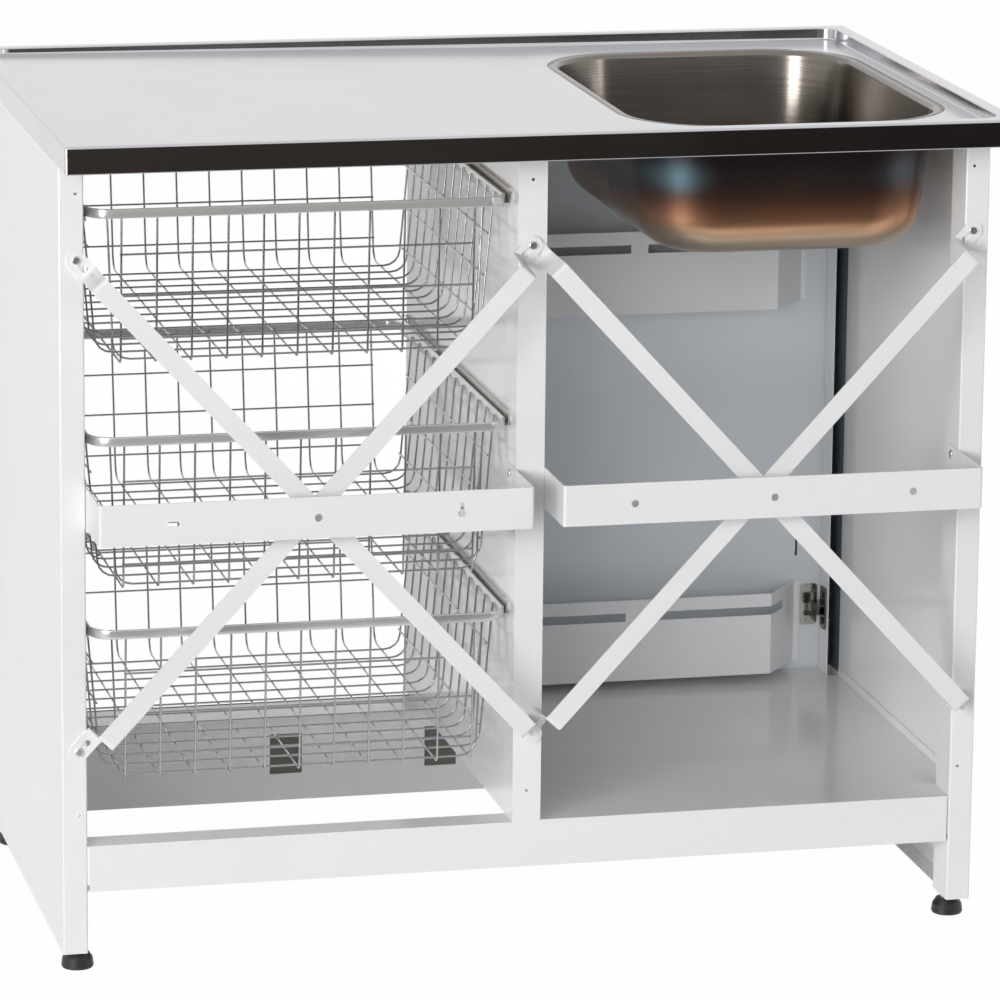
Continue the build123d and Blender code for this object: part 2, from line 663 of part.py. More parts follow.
def make_runner(side_of_bay, screw_z):
    """A basket runner: web, ledge under the rim, skirt, and a round tab at the back."""
    inward = side_of_bay
    wall_x = PARTITION_HALF if side_of_bay > 0 else BAY_OUTER_X
    ledge_z = screw_z - RIM_BELOW_SCREW - RIM_HEIGHT / 2 - FIT_GAP
    t = RUNNER_SHEET
    y0 = FRONT_Y + RUNNER_INSET
    y1 = REAR_SCREW_Y - RUNNER_INSET
    runner = block(wall_x, wall_x + inward * t, y0, y1, ledge_z - t, screw_z + RUNNER_TOP)
    runner += block(wall_x, wall_x + inward * LEDGE_WIDTH, y0, y1, ledge_z - t, ledge_z)
    runner += block(wall_x + inward * (LEDGE_WIDTH - t), wall_x + inward * LEDGE_WIDTH, y0, y1,
                    ledge_z - LEDGE_SKIRT, ledge_z)
    runner += block(wall_x, wall_x + inward * TOP_FOLD, y0, y1, screw_z + RUNNER_TOP - t,
                    screw_z + RUNNER_TOP)
    tab_x = wall_x + inward * t / 2
    runner += rod((tab_x, REAR_SCREW_Y, screw_z), TAB_RADIUS, t, "X")
    for y in (REAR_SCREW_Y, FRONT_SCREW_Y):
        runner -= rod((tab_x, y, screw_z), SCREW_HOLE, CUT, "X")
    return runner


def runner_screw_group():
    """One screw at each end of each runner, through its web into the upright."""
    radius, height = SMALL_HEAD
    group = []
    for z in RUNNER_Z:
        for wall_x, facing in ((PARTITION_HALF, 1), (BAY_OUTER_X, -1)):
            seat = wall_x + facing * RUNNER_SHEET
            for y in (REAR_SCREW_Y, FRONT_SCREW_Y):
                small = Plane(origin=(seat, y, z), z_dir=(facing, 0, 0))
                head = extrude(Circle(radius), height)
                group.append(small * (head + extrude(Circle(SCREW_RADIUS), -RUNNER_SHEET)))
    return Compound(children=group)


# ---------------------------------------------------------------- door

def make_door_outer():
    """The outer pan of the door: face and four folded sides, open to the cabinet."""
    back = FRONT_Y - DOOR_GAP - DOOR_SHEET
    front = FRONT_Y - DOOR_GAP - DOOR_THICKNESS
    t = DOOR_SHEET
    pan = block(DOOR_LEFT_X, DOOR_RIGHT_X, front, back, DOOR_BOTTOM, DOOR_TOP)
    pan = fillet(pan.edges().group_by(Axis.Y)[0], DOOR_BEND)
    return pan - block(DOOR_LEFT_X + t, DOOR_RIGHT_X - t, front + t, back + SLACK,
                       DOOR_BOTTOM + t, DOOR_TOP - t)


def make_door_inner():
    """The inner skin, with the slots its bins hang in and a hole for each hinge cup."""
    outer_y = FRONT_Y - DOOR_GAP
    skin = block(DOOR_LEFT_X, DOOR_RIGHT_X, outer_y - DOOR_SHEET, outer_y, DOOR_BOTTOM, DOOR_TOP)
    for z in HINGE_Z:
        skin -= Pos(CUP_X, outer_y, z) * Box(CUP_WIDTH + 1, CUT, CUP_HEIGHT + 2)
    width, height = HANG_SLOT
    for sign in (-1, 1):
        skin -= Pos(DOOR_CENTRE_X + sign * HANG_SLOT_X, outer_y, HANG_SLOT_Z) * Box(
            width, CUT, height)
    return skin


def bin_plan(shrink):
    """The plan of a bin: a shallow trough with ends cut at forty-five degrees."""
    back_y = FRONT_Y - DOOR_GAP + BIN_PLAY
    face_y = back_y + BIN_DEPTH - shrink
    face = BIN_FACE_HALF - shrink * (2 ** 0.5 - 1)
    back = BIN_BACK_HALF - shrink * 2 ** 0.5
    return outline([(DOOR_CENTRE_X - back, back_y), (DOOR_CENTRE_X - face, face_y),
                    (DOOR_CENTRE_X + face, face_y), (DOOR_CENTRE_X + back, back_y)])


def make_door_bin(top_z):
    """An open-topped sheet bin with two long slots that wrap round its ends."""
    t = SHEET
    back_y = FRONT_Y - DOOR_GAP
    bottom = top_z - BIN_HEIGHT
    trough = standing(bin_plan(0), bottom, top_z)
    trough -= standing(bin_plan(t), bottom + t, top_z + SLACK)
    trough -= block(DOOR_LEFT_X, DOOR_RIGHT_X, back_y - CUT, back_y + t, bottom + t,
                    top_z + SLACK)
    for sign in (-1, 1):
        x0 = DOOR_CENTRE_X + sign * (BIN_BACK_HALF - BIN_FLANGE_LAP)
        trough += block(x0, x0 + sign * BIN_FLANGE, back_y + BIN_PLAY, back_y + BIN_PLAY + t,
                        bottom, top_z)
    slot_top = top_z - BIN_SLOT_DROP
    for sign in (-1, 1):
        x0 = DOOR_CENTRE_X + sign * BIN_BRIDGE / 2
        x1 = DOOR_CENTRE_X + sign * (BIN_BACK_HALF - BIN_SLOT_INSET)
        trough -= block(x0, x1, back_y + BIN_SLOT_START, back_y + BIN_DEPTH + CUT,
                        slot_top - BIN_SLOT_HEIGHT, slot_top)
    return trough


def make_handle():
    """A plain bow handle of round bar, screwed to the face of the door."""
    face_y = FRONT_Y - DOOR_GAP - DOOR_THICKNESS
    low = HANDLE_TOP_Z - HANDLE_CENTRES
    path = Plane.YZ.offset(HANDLE_X) * FilletPolyline(
        (face_y, low), (face_y - HANDLE_STANDOFF, low),
        (face_y - HANDLE_STANDOFF, HANDLE_TOP_Z), (face_y, HANDLE_TOP_Z),
        radius=HANDLE_BEND)
    start = Plane(origin=path @ 0, z_dir=path % 0)
    return sweep(start * Circle(HANDLE_RADIUS), path=path)


# ---------------------------------------------------------------- hinges

def crossed_head(size):
    """A small flat screw head with a cross recess, its seat at the origin."""
    radius, height = size
    long, narrow, deep = HINGE_RECESS
    recess = Box(long, narrow, deep) + Box(narrow, long, deep)
    return extrude(Circle(radius), height) - Pos(0, 0, height) * recess


def make_hinge_cup(z):
    """The door half: a screwed flange with a pressed cup sunk into the door."""
    skin_y = FRONT_Y - DOOR_GAP
    width, height = CUP_PLATE
    face_y = skin_y + CUP_FLANGE
    plate = block(CUP_X - width / 2, CUP_X + width / 2, skin_y, face_y, z - height / 2,
                  z + height / 2)
    plate = fillet(plate.edges().filter_by(Axis.Y), PLATE_CORNER)
    half_x, half_z = CUP_WIDTH / 2, CUP_HEIGHT / 2
    cup = block(CUP_X - half_x, CUP_X + half_x, skin_y - CUP_DEPTH, face_y, z - half_z,
                z + half_z)
    cup = fillet(cup.edges().filter_by(Axis.Y), CUP_CORNER)
    t = SHEET
    well = block(CUP_X - half_x + t, CUP_X + half_x - t, skin_y - CUP_DEPTH + t, face_y + CUT,
                 z - half_z + t, z + half_z - t)
    well = fillet(well.edges().filter_by(Axis.Y), CUP_CORNER - t)
    shape = plate + cup - well
    for offset_z in (-CUP_SCREW_PITCH / 2, CUP_SCREW_PITCH / 2):
        place = Plane(origin=(CUP_X, face_y, z + offset_z), z_dir=(0, 1, 0))
        shape += place * crossed_head(CUP_HEAD)
    return shape


def make_hinge_arm(z):
    """The cabinet half: a plate on the channel's return and an arm towards the cup."""
    lip_x = -(PANEL_X - FRONT_FLANGE)
    rear = FRONT_Y + FRONT_RETURN
    seat_x = lip_x + PLATE_THICKNESS
    plate_y = rear - PLATE_INSET - PLATE_WIDTH
    plate = block(lip_x, seat_x, plate_y, plate_y + PLATE_WIDTH, z - PLATE_HEIGHT / 2,
                  z + PLATE_HEIGHT / 2)
    plate = fillet(plate.edges().filter_by(Axis.X), PLATE_CORNER)
    half = ARM_WIDTH / 2
    arm = block(seat_x, seat_x + ARM_HEIGHT, FRONT_Y + ARM_NOSE, rear - ARM_TAIL, z - half,
                z + half)
    arm = fillet(arm.edges().filter_by(Axis.X), ARM_CORNER)
    t = ARM_SHEET
    well = block(seat_x, seat_x + ARM_HEIGHT - t, FRONT_Y + ARM_NOSE + ARM_BRIDGE, rear + CUT,
                 z - half + t, z + half - t)
    shape = plate + (arm - well)
    for offset_z in (-HINGE_SCREW_PITCH / 2, HINGE_SCREW_PITCH / 2):
        place = Plane(origin=(seat_x, plate_y + PLATE_WIDTH / 2, z + offset_z),
                      z_dir=(1, 0, 0))
        shape += place * crossed_head(HINGE_HEAD)
    return shape


# ---------------------------------------------------------------- feet

def make_foot_pad(x, y):
    """A round black foot, a little wider at the floor."""
    waist = FOOT_RADIUS - FOOT_EDGE
    profile = outline([(0, 0), (waist, 0), (FOOT_RADIUS, 2 * FOOT_EDGE),
                       (waist, FOOT_SHOULDER), (FOOT_TOP_RADIUS, FOOT_HEIGHT),
                       (0, FOOT_HEIGHT)])
    return Pos(x, y, 0) * revolve(Plane.XZ * profile, Axis.Z)


def make_foot_stud(x, y):
    """The threaded stud with its hexagon seated on the pad."""
    hexagon = extrude(RegularPolygon(HEXAGON_RADIUS, 6), amount=HEXAGON_HEIGHT)
    stud = extrude(Circle(STUD_RADIUS), amount=STUD_TOP - FOOT_HEIGHT)
    return Pos(x, y, FOOT_HEIGHT) * (hexagon + stud)


# ---------------------------------------------------------------- assembly

write(make_worktop(), "worktop")
write(make_deck_board(), "deck_board")
write(make_bowl(), "sink_bowl")

right_panel = make_side_panel()
write(right_panel, "side_panel_basket_side")
write(mirror(right_panel, about=Plane.YZ), "side_panel_bowl_side")
write(make_partition(), "partition")
write(make_rear_rail(), "rear_rail")
write(make_front_plinth(), "front_plinth")
write(make_plinth_board(), "plinth_board")
write(make_floor_tray(), "floor_tray")
write(make_top_rail(PARTITION_HALF, PANEL_X - FRONT_FLANGE), "top_rail_basket_bay")
write(make_top_rail(-PANEL_X + FRONT_FLANGE, -PARTITION_HALF), "top_rail_bowl_bay")

write(make_crossbar(1), "crossbar_basket_bay")
write(make_crossbar(-1), "crossbar_bowl_bay")
brace_a = (brace_end(POST_HOLE_X, BRACE_HIGH_Z),
           brace_end(0, BRACE_LOW_Z, seat=BRACE_SHEET, reach=TAB_REACH[0]))
brace_b = (brace_end(POST_HOLE_X, BRACE_LOW_Z, tab=LONG_TAB),
           brace_end(0, BRACE_HIGH_Z, seat=BRACE_SHEET))
brace_c = (brace_end(-POST_HOLE_X, BRACE_LOW_Z, reach=TAB_REACH[1]), brace_end(0, BRACE_HIGH_Z))
brace_d = (brace_end(-POST_HOLE_X, BRACE_HIGH_Z), brace_end(0, BRACE_LOW_Z))
write(make_brace(*brace_a, OUTER_LEVEL), "brace_a")
write(make_brace(*brace_b, INNER_LEVEL), "brace_b")
write(make_brace(*brace_c, OUTER_LEVEL), "brace_c")
write(make_brace(*brace_d, INNER_LEVEL), "brace_d")
write(brace_screw_group(), "brace_screws")
write(crossbar_screw_group(), "crossbar_screws")

for level, runner_z, pulled in zip(LEVELS, RUNNER_Z, BASKET_PULLED):
    rim_z = runner_z - RIM_BELOW_SCREW
    near_y = BASKET_CLOSED_Y - pulled
    write(make_basket_rim(near_y, rim_z), f"basket_{level}_rim")
    write(make_long_wires(near_y, rim_z), f"basket_{level}_long_wires")
    write(make_cross_wires(near_y, rim_z), f"basket_{level}_cross_wires")
    write(make_wall_wires(near_y, rim_z), f"basket_{level}_wall_wires")
    write(make_runner(1, runner_z), f"runner_{level}_inner")
    write(make_runner(-1, runner_z), f"runner_{level}_outer")
write(runner_screw_group(), "runner_screws")

write(make_door_outer(), "door_outer")
write(make_door_inner(), "door_inner")
write(make_door_bin(BIN_TOP_Z[0]), "door_bin_upper")
write(make_door_bin(BIN_TOP_Z[1]), "door_bin_lower")
write(make_handle(), "door_handle")
for name, z in zip(("lower", "upper"), HINGE_Z):
    write(make_hinge_cup(z), f"hinge_cup_{name}")
    write(make_hinge_arm(z), f"hinge_arm_{name}")

for side, x in (("basket", FOOT_X), ("bowl", -FOOT_X)):
    for place, y in zip(("rear", "front"), FOOT_Y):
        write(make_foot_pad(x, y), f"foot_pad_{place}_{side}")
        write(make_foot_stud(x, y), f"foot_stud_{place}_{side}")
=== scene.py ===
import bpy
import bmesh
import math
from mathutils import Matrix, Vector


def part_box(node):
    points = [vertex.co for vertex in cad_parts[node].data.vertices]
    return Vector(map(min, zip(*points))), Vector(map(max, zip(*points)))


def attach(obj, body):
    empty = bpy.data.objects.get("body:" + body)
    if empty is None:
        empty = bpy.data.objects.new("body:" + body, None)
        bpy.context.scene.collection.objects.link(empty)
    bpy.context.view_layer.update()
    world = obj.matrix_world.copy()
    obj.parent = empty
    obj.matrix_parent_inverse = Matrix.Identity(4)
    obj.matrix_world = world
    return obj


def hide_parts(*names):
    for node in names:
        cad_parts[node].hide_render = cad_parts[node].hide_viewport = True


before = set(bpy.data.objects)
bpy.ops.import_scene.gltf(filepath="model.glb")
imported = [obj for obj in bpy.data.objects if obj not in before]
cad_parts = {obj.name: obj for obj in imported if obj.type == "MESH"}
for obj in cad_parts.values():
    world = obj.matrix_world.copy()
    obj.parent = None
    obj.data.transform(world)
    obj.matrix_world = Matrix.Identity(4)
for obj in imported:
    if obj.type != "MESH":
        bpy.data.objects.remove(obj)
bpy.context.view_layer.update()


# ---------------------------------------------------------------- worktop
# One stainless sheet, pressed with a raised rim, a sunk drainer and a hole for the
# bowl. Its edge is folded down to a deep flange and returned under the board.

worktop_low, worktop_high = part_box("worktop")
WORKTOP_SHEET = 0.0008
RIM_WIDTH = 0.016
RIM_ROLL = 0.0016
RIM_SLOPE = -86
RIM_INNER_CORNER = 0.023
FLANGE_CORNER = 0.003
FLANGE_EASE = 0.0002
LIP_WIDTH = 0.010
FOLD_RADIUS = 0.0016
DECK_DROP = 0.0126
DECK_MIN_AREA = 0.1
HEIGHT_SLACK = 0.001
LEVEL_NORMAL = 0.99
DRAINER_RISE = 0.0062
DRAINER_END_X = -0.100
BOWL_CENTRE = Vector((-0.290, 0.006))
BOWL_MOUTH = (0.330, 0.474)
BOWL_CORNER = 0.090
BOWL_CORNER_STEPS = 16
BOWL_FLANGE = 0.014
PRESSED_STEP = 0.0004
PRESSED_STEP_IN = 0.0006


def rounded_face(bm, centre, size, radius, z, segments=10):
    """A flat face with four rounded corners, looking up."""
    made = bmesh.ops.create_grid(bm, x_segments=1, y_segments=1, size=0.5)
    bmesh.ops.scale(bm, vec=(size[0], size[1], 1), verts=made["verts"])
    bmesh.ops.translate(bm, vec=(centre[0], centre[1], z), verts=made["verts"])
    bent = bmesh.ops.bevel(bm, geom=made["verts"], offset=radius, segments=segments,
                           affect="VERTICES", profile=0.5, material=-1)
    faces = set(bent["faces"]) | {f for v in bent["verts"] for f in v.link_faces}
    return max(faces, key=lambda f: f.calc_area())


def bowl_opening(bm, z):
    """The outline of the bowl's flange, which is also the hole in the worktop."""
    size = [length + 2 * BOWL_FLANGE for length in BOWL_MOUTH]
    return rounded_face(bm, BOWL_CENTRE, size, BOWL_CORNER + BOWL_FLANGE, z, BOWL_CORNER_STEPS)


def raised_copy(bm, face, lift):
    """Extrudes a face straight up, and returns the face at the top."""
    made = bmesh.ops.extrude_face_region(bm, geom=[face])
    top = next(g for g in made["geom"] if isinstance(g, bmesh.types.BMFace))
    bmesh.ops.translate(bm, vec=(0, 0, lift), verts=top.verts)
    return top


def step_in(bm, face, inward, up):
    """Insets a face by a distance and lifts it."""
    bm.normal_update()
    bmesh.ops.inset_region(bm, faces=[face], thickness=inward, depth=up,
                           use_even_offset=True, use_boundary=True)


def curl(bm, face, radius, start, end, steps=5):
    """Insets a face so that its border turns from one slope to another, in degrees."""
    turn = math.radians(end - start) / steps
    chord = 2 * radius * math.sin(abs(turn) / 2)
    for n in range(steps):
        slope = math.radians(start) + turn * (n + 0.5)
        step_in(bm, face, chord * math.cos(slope), chord * math.sin(slope))


def open_between(bm, outer, inner):
    """Fills the flat space between the borders of two faces, and drops the outer face."""
    edges = list(outer.edges) + list(inner.edges)
    bmesh.ops.delete(bm, geom=[outer], context="FACES_ONLY")
    bmesh.ops.triangle_fill(bm, edges=edges, use_beauty=True)


def piece(name, bm, body, *materials, replaces=(), crease=35, sheet=0.0):
    """Makes the object of a finished mesh, and lets it ride on a body.

    A sheet thickness gives it a wall, whose other side takes the last material.
    """
    mesh = bpy.data.meshes.new(name)
    for face in bm.faces:
        face.smooth = True
    bm.to_mesh(mesh)
    bm.free()
    mesh.set_sharp_from_angle(angle=math.radians(crease))
    obj = bpy.data.objects.new(name, mesh)
    bpy.context.scene.collection.objects.link(obj)
    for material in materials:
        mesh.materials.append(material)
    if sheet:
        wall = obj.modifiers.new("sheet", "SOLIDIFY")
        wall.thickness = sheet
        wall.offset = -1
        wall.use_even_offset = True
        wall.material_offset = len(materials) - 1
        wall.material_offset_rim = 0
    if replaces:
        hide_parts(*replaces)
    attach(obj, body)
    return obj


def feed(link, socket, given):
    """Gives a socket a plain number, or the output of another node."""
    if isinstance(given, (int, float)):
        socket.default_value = given
    else:
        link(given, socket)


def object_place(nodes):
    """The place on the piece, which patterns follow."""
    return nodes.new("ShaderNodeTexCoord").outputs["Object"]


def noise(nodes, link, vector, scale, detail):
    """A soft noise, which mostly lies between 0.3 and 0.7."""
    texture = nodes.new("ShaderNodeTexNoise")
    link(vector, texture.inputs["Vector"])
    feed(link, texture.inputs["Scale"], scale)
    feed(link, texture.inputs["Detail"], detail)
    return texture.outputs["Fac"]


def new_group(name, inputs, outputs):
    """An empty shader group with plain number inputs and named outputs."""
    group = bpy.data.node_groups.new(name, "ShaderNodeTree")
    for label, value in inputs.items():
        socket = group.interface.new_socket(label, in_out="INPUT",
                                            socket_type="NodeSocketFloat")
        socket.default_value = value
    for label in outputs:
        group.interface.new_socket(label, in_out="OUTPUT", socket_type="NodeSocketFloat")
    return group, group.nodes.new("NodeGroupInput"), group.nodes.new("NodeGroupOutput")


def brushed_lines_group():
    """Fine lines drawn out along one direction, and a slow change of tone over them."""
    group, given, out = new_group(
        "brushed_lines", {"Lines X": 8, "Lines Y": 900, "Lines Z": 900, "Cloud": 4},
        ("Lines", "Tone"))
    nodes, link = group.nodes, group.links.new
    place = object_place(nodes)
    scale = nodes.new("ShaderNodeCombineXYZ")
    for axis in "XYZ":
        link(given.outputs[f"Lines {axis}"], scale.inputs[axis])
    stretch = nodes.new("ShaderNodeVectorMath")
    stretch.operation = "MULTIPLY"
    link(place, stretch.inputs[0])
    link(scale.outputs[0], stretch.inputs[1])
    link(noise(nodes, link, stretch.outputs[0], scale=1, detail=4), out.inputs["Lines"])
    link(noise(nodes, link, place, given.outputs["Cloud"], detail=3), out.inputs["Tone"])
    return group


brushed_lines = brushed_lines_group()


def brushed_grain(nodes, lines):
    """The brushed lines in a material, with their number per metre along each axis."""
    grain = nodes.new("ShaderNodeGroup")
    grain.node_tree = brushed_lines
    for axis, count in zip("XYZ", lines):
        grain.inputs[f"Lines {axis}"].default_value = count
    return grain.outputs


def start_material(name, colour, metallic, roughness):
    """A material with plain starting values, and its nodes."""
    material = bpy.data.materials.new(name)
    material.use_nodes = True
    shader = material.node_tree.nodes["Principled BSDF"]
    shader.inputs["Base Color"].default_value = (*colour, 1)
    shader.inputs["Metallic"].default_value = metallic
    shader.inputs["Roughness"].default_value = roughness
    return material, material.node_tree.nodes, material.node_tree.links.new, shader


def ranged(nodes, link, source, start=0, end=1, low=0, high=1, kind="LINEAR", clamp=True):
    """A value that runs from low to high while its source runs from start to end."""
    remap = nodes.new("ShaderNodeMapRange")
    remap.interpolation_type = kind
    remap.clamp = clamp
    remap.inputs["From Min"].default_value = start
    remap.inputs["From Max"].default_value = end
    remap.inputs["To Min"].default_value = low
    remap.inputs["To Max"].default_value = high
    link(source, remap.inputs["Value"])
    return remap.outputs["Result"]


def spread(nodes, link, source, low, high):
    """The usual span of a noise, made to run from low to high."""
    return ranged(nodes, link, source, start=0.3, end=0.7, low=low, high=high)


def two_tone(nodes, link, mask, dark, light):
    """A colour between two, by a mask from 0 to 1; each is three numbers or an output."""
    mix = nodes.new("ShaderNodeMix")
    mix.data_type = "RGBA"
    for label, colour in (("A", dark), ("B", light)):
        if isinstance(colour, tuple):
            mix.inputs[label].default_value = (*colour, 1)
        else:
            link(colour, mix.inputs[label])
    link(mask, mix.inputs["Factor"])
    return mix.outputs["Result"]


def raise_by(nodes, link, shader, height, strength, distance):
    """Raises a pattern on the surface, by a distance in metres."""
    bump = nodes.new("ShaderNodeBump")
    bump.inputs["Strength"].default_value = strength
    bump.inputs["Distance"].default_value = distance
    link(height, bump.inputs["Height"])
    link(bump.outputs["Normal"], shader.inputs["Normal"])


BRUSHED_DEPTH = 0.0002


def brushed_steel(name, dark, light, rough, lines, bump=0.05):
    """Stainless steel with brushed lines: many across, few along."""
    material, nodes, link, shader = start_material(name, light, metallic=1, roughness=rough[0])
    grain = brushed_grain(nodes, lines)
    tone = spread(nodes, link, grain["Lines"], 0, 1)
    link(two_tone(nodes, link, tone, dark, light), shader.inputs["Base Color"])
    link(spread(nodes, link, grain["Tone"], *rough), shader.inputs["Roughness"])
    raise_by(nodes, link, shader, grain["Lines"], bump, BRUSHED_DEPTH)
    return material


worktop_steel = brushed_steel("worktop_steel", (0.51, 0.51, 0.53), (0.61, 0.607, 0.627),
                              rough=(0.14, 0.20), lines=(6, 2200, 2200), bump=0.02)

bm = bmesh.new()
width = worktop_high.x - worktop_low.x
depth = worktop_high.y - worktop_low.y
middle = ((worktop_high.x + worktop_low.x) / 2, (worktop_high.y + worktop_low.y) / 2)
skirt = rounded_face(bm, middle, (width, depth), FLANGE_CORNER, worktop_low.z, segments=3)
top = raised_copy(bm, skirt, worktop_high.z - worktop_low.z - FLANGE_CORNER)
curl(bm, top, FLANGE_CORNER - FLANGE_EASE, 90, 0)

pocket = rounded_face(bm, middle, (width - 2 * RIM_WIDTH, depth - 2 * RIM_WIDTH),
                      RIM_INNER_CORNER, worktop_high.z)
open_between(bm, top, pocket)
curl(bm, pocket, RIM_ROLL, 0, RIM_SLOPE)
rim_wall = DECK_DROP - 2 * RIM_ROLL * (1 - math.cos(math.radians(RIM_SLOPE)))
step_in(bm, pocket, rim_wall / math.tan(math.radians(-RIM_SLOPE)), -rim_wall)
curl(bm, pocket, RIM_ROLL, RIM_SLOPE, 0)

deck_z = sum(v.co.z for v in pocket.verts) / len(pocket.verts)
bmesh.ops.bisect_plane(bm, geom=[pocket, *pocket.edges, *pocket.verts],
                       plane_co=(DRAINER_END_X, 0, 0), plane_no=(1, 0, 0))
deck_parts = [f for f in bm.faces
              if abs(f.normal.z) > LEVEL_NORMAL and f.calc_area() > DECK_MIN_AREA
              and abs(f.calc_center_median().z - deck_z) < HEIGHT_SLACK]
bowl_end = min(deck_parts, key=lambda f: f.calc_center_median().x)
drainer_length = worktop_high.x - RIM_WIDTH - DRAINER_END_X
for vert in bm.verts:
    past = vert.co.x - DRAINER_END_X
    inside_rim = (abs(vert.co.x - middle[0]) < width / 2 - RIM_WIDTH
                  and abs(vert.co.y - middle[1]) < depth / 2 - RIM_WIDTH)
    if past > 0 and inside_rim and vert.co.z < worktop_high.z - RIM_ROLL:
        vert.co.z += DRAINER_RISE * past / drainer_length

hole = bowl_opening(bm, deck_z)
open_between(bm, bowl_end, hole)
step_in(bm, hole, PRESSED_STEP_IN, -PRESSED_STEP)
bmesh.ops.delete(bm, geom=[hole], context="FACES")
curl(bm, skirt, FOLD_RADIUS, 90, 0)
bmesh.ops.scale(bm, vec=(1 - 2 * LIP_WIDTH / width, 1 - 2 * LIP_WIDTH / depth, 1),
                verts=skirt.verts)
bmesh.ops.delete(bm, geom=[skirt], context="FACES")
bmesh.ops.recalc_face_normals(bm, faces=bm.faces)
worktop = piece("worktop_sheet", bm, "cabinet", worktop_steel, replaces=["worktop"],
                crease=50, sheet=WORKTOP_SHEET)
# The large flat faces keep an even shading right up to their bends.
even = worktop.modifiers.new("even_shading", "WEIGHTED_NORMAL")
even.keep_sharp = True


# ---------------------------------------------------------------- bowl
# The bowl is drawn from one sheet and welded into the hole in the worktop. Inside it is
# brushed round the walls; outside it keeps the blue and copper bands of the heat.

bowl_low, bowl_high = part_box("sink_bowl")
BOWL_SHEET = 0.001
BOWL_DEPTH = 0.144
BOWL_SLOPE = -84
LIP_ROLL = 0.006
FOOT_ROLL = 0.045
WASTE_SEAT = 0.056
WASTE_HOLE = 0.045
WASTE_DROP = 0.004
SEAT_ROLL = 0.002
SEAT_SLOPE = -80
SEAT_BENDS_DROP = 0.0034
SEAT_WALL_IN = 0.0005
SEAT_BENDS_IN = 0.0055

BAND_DRIFT = 0.02
BAND_MARGIN = 0.010
HEAT_BANDS = (
    (0.00, (0.42, 0.36, 0.30)),
    (0.16, (0.46, 0.34, 0.24)),
    (0.22, (0.55, 0.32, 0.19)),
    (0.28, (0.58, 0.30, 0.175)),
    (0.33, (0.42, 0.205, 0.12)),
    (0.39, (0.26, 0.13, 0.08)),
    (0.46, (0.15, 0.085, 0.065)),
    (0.57, (0.09, 0.065, 0.066)),
    (0.75, (0.06, 0.048, 0.050)),
    (1.00, (0.06, 0.048, 0.050)))
# Painted shade: towards the partition, the outside of the bowl is darkened as if it reflected
# the shaded door and partition.
PAINTED_SHADE_COLOUR = (0.055, 0.05, 0.06)
PAINTED_SHADE_SHARE = 0.9
PAINTED_SHADE_START_X = -0.175
HEAT_BLUE = (0.16, 0.26, 0.31)
BLUE_MIDDLE_X = BOWL_CENTRE.x + 0.006
BLUE_SPOT_X = 0.1205
BLUE_SPOT_Z = 0.817
BLUE_SPOT_SIZE = (0.048, 0.026)
WEAK_SPOT_X = -0.40
STRONG_SPOT_X = -0.17
WEAK_SPOT_SHARE = 0.3


def calculate(nodes, link, operation, *terms):
    """One step of arithmetic on numbers or outputs."""
    step = nodes.new("ShaderNodeMath")
    step.operation = operation
    for socket, term in zip(step.inputs, terms):
        feed(link, socket, term)
    return step.outputs[0]


def axes_of(nodes, link, place):
    """A place split into its three axes."""
    split = nodes.new("ShaderNodeSeparateXYZ")
    link(place, split.inputs[0])
    return split.outputs


def blue_spots(nodes, link, axes):
    """A mask of the two spots that the heat has turned blue, the one at the far end weak."""
    off_middle = calculate(nodes, link, "SUBTRACT", axes["X"], BLUE_MIDDLE_X)
    side = calculate(nodes, link, "ABSOLUTE", off_middle)
    reach = nodes.new("ShaderNodeCombineXYZ")
    for axis, source, centre, size in (("X", side, BLUE_SPOT_X, BLUE_SPOT_SIZE[0]),
                                       ("Z", axes["Z"], BLUE_SPOT_Z, BLUE_SPOT_SIZE[1])):
        off = ranged(nodes, link, source, centre, centre + size, clamp=False)
        link(off, reach.inputs[axis])
    length = nodes.new("ShaderNodeVectorMath")
    length.operation = "LENGTH"
    link(reach.outputs[0], length.inputs[0])
    fade = ranged(nodes, link, length.outputs["Value"], low=1, high=0, kind="SMOOTHSTEP")
    share = ranged(nodes, link, axes["X"], WEAK_SPOT_X, STRONG_SPOT_X, low=WEAK_SPOT_SHARE)
    return calculate(nodes, link, "MULTIPLY", fade, share)


def heat_tinted_steel():
    """The bowl's outer face: brown-black above, copper below, bright foot, two blue spots, and
    painted shade on the end towards the partition.
    """
    material, nodes, link, shader = start_material("bowl_outside", (0.4, 0.38, 0.36),
                                                   metallic=0.85, roughness=0.3)
    place = object_place(nodes)
    axes = axes_of(nodes, link, place)
    drift = noise(nodes, link, place, scale=9, detail=2)
    shifted = calculate(nodes, link, "MULTIPLY_ADD", drift, BAND_DRIFT, axes["Z"])
    bands = nodes.new("ShaderNodeValToRGB")
    stops = bands.color_ramp.elements
    for stop, (position, colour) in zip(stops, (HEAT_BANDS[0], HEAT_BANDS[-1])):
        stop.position = position
        stop.color = (*colour, 1)
    for position, colour in HEAT_BANDS[1:-1]:
        stops.new(position).color = (*colour, 1)
    link(ranged(nodes, link, shifted, bowl_low.z + BAND_MARGIN, bowl_high.z + BAND_MARGIN),
         bands.inputs["Fac"])
    # Painted shade over the end of the bowl towards the partition.
    shade_mask = ranged(nodes, link, axes["X"], PAINTED_SHADE_START_X, bowl_high.x, high=PAINTED_SHADE_SHARE)
    shaded_bands = two_tone(nodes, link, shade_mask, bands.outputs["Color"], PAINTED_SHADE_COLOUR)
    spots = blue_spots(nodes, link, axes)
    link(two_tone(nodes, link, spots, shaded_bands, HEAT_BLUE), shader.inputs["Base Color"])
    grain = brushed_grain(nodes, (30, 30, 700))
    link(spread(nodes, link, grain["Tone"], low=0.22, high=0.36), shader.inputs["Roughness"])
    raise_by(nodes, link, shader, grain["Lines"], strength=0.05, distance=BRUSHED_DEPTH)
    return material


